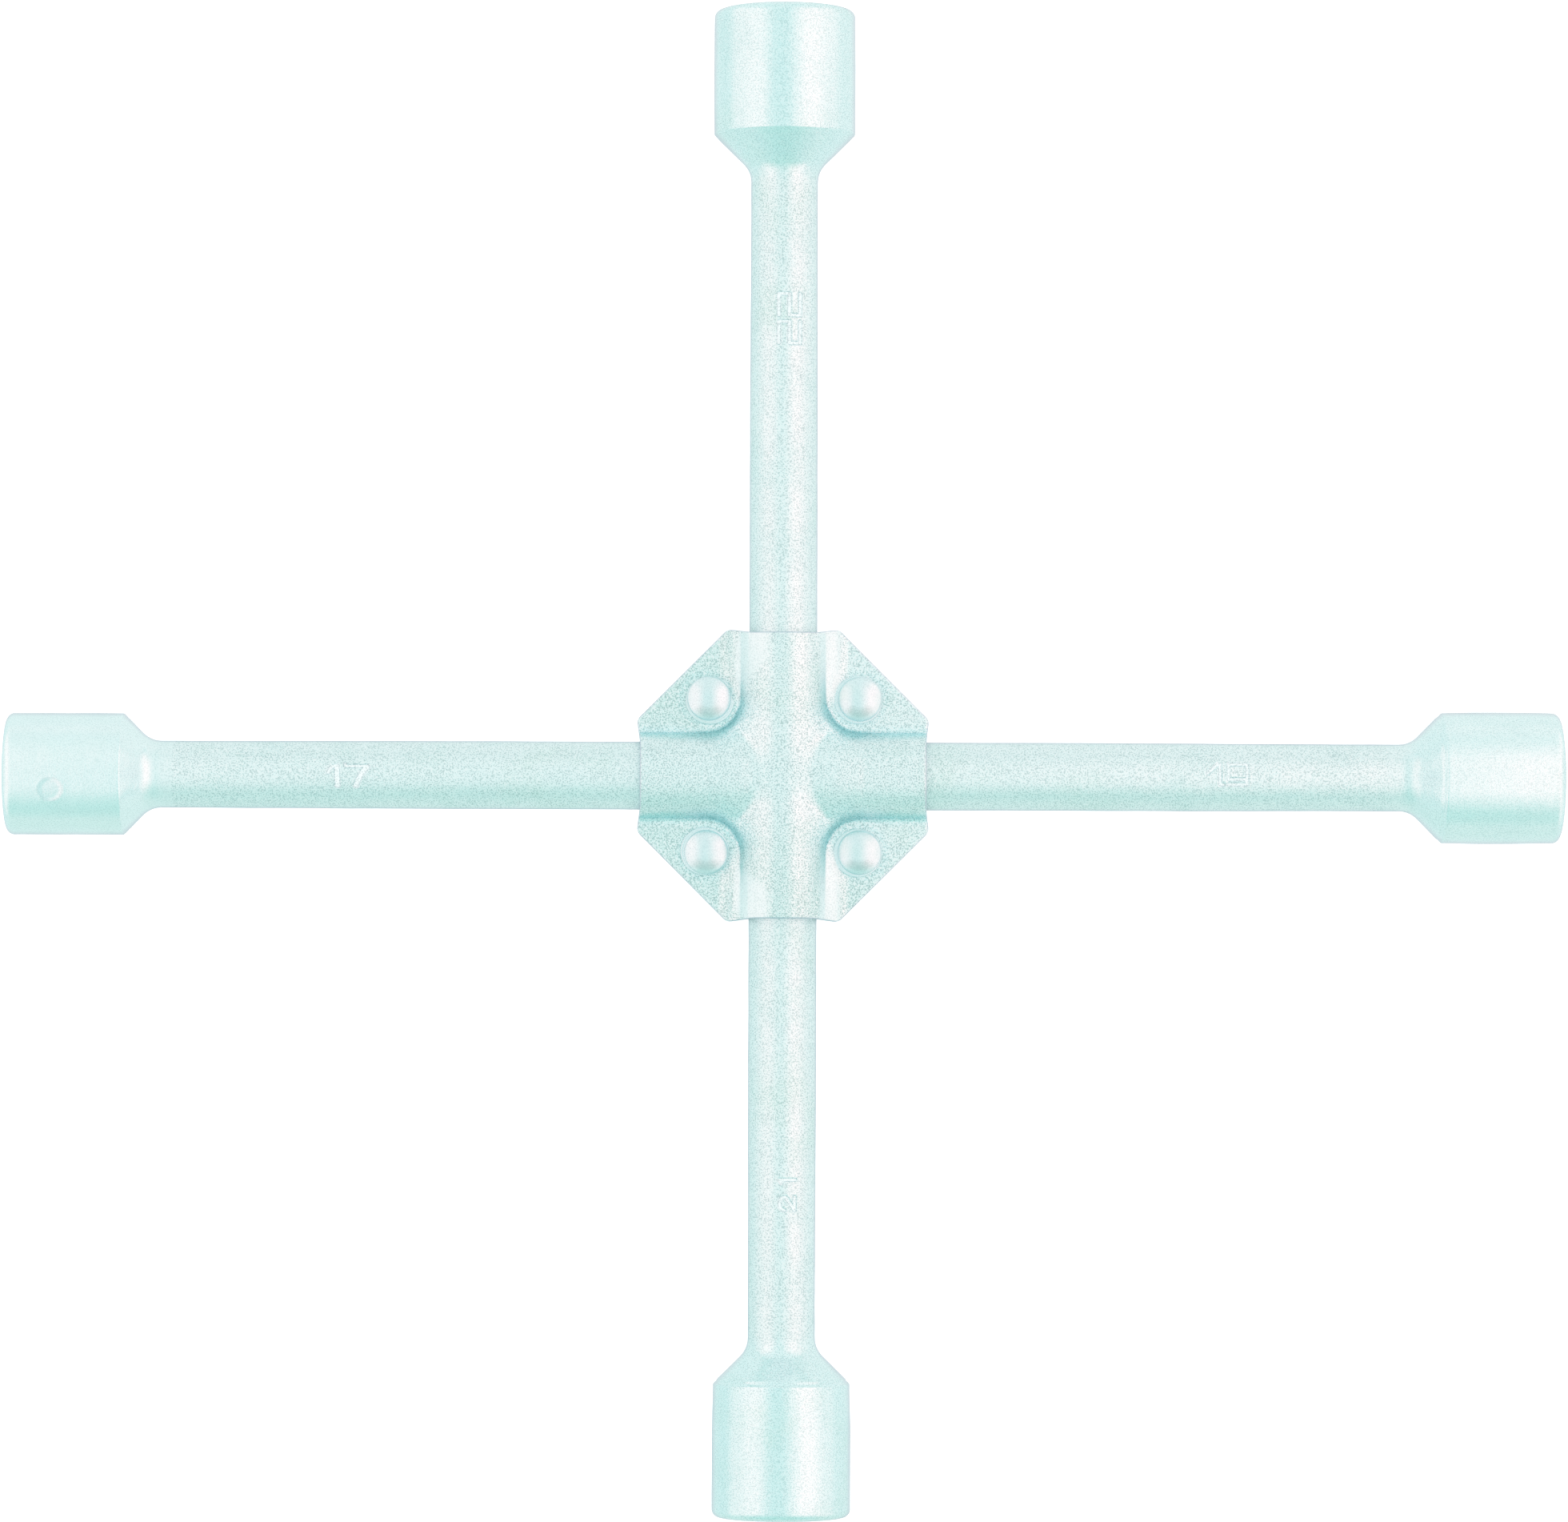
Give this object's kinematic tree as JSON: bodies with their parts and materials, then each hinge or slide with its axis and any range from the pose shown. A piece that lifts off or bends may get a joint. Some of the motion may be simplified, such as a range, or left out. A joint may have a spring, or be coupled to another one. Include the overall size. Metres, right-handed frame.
{
  "type": "lug wrench",
  "caption": "Cross-shaped lug wrench: round bars clamped between riveted stamped hub plates, with a differently sized hex socket on each bar end for turning wheel nuts.",
  "frame": {"origin": "where the axes of the two crossed bars meet, at the middle of the hub; the balance point is within 2 mm of it", "axes": "+Z out of the front plate, square to both bars; +X along the arm with the 19 mm socket, -X 17 mm, +Y 22 mm, -Y 21 mm"},
  "size_m": [0.3649, 0.3543, 0.0334],
  "materials": {
    "bar_zinc": "bright blue-white zinc plate over drawn round bar, fine grain",
    "socket_zinc": "bright blue-white zinc plate over a forged surface, fine grain",
    "plate_zinc": "bright blue-white zinc plate over pressed sheet, orange-peel grain",
    "rivet_zinc": "smoother zinc plate on the formed heads"
  },
  "bodies": {
    "root": {"upright_bar": "bar_zinc", "cross_bar": "bar_zinc", "socket_17": "socket_zinc", "socket_19": "socket_zinc", "socket_21": "socket_zinc", "socket_22": "socket_zinc", "front_plate": "plate_zinc", "rear_plate": "plate_zinc", "rivet_upper_left": "rivet_zinc", "rivet_upper_right": "rivet_zinc", "rivet_lower_left": "rivet_zinc", "rivet_lower_right": "rivet_zinc"}
  },
  "joints": []
}
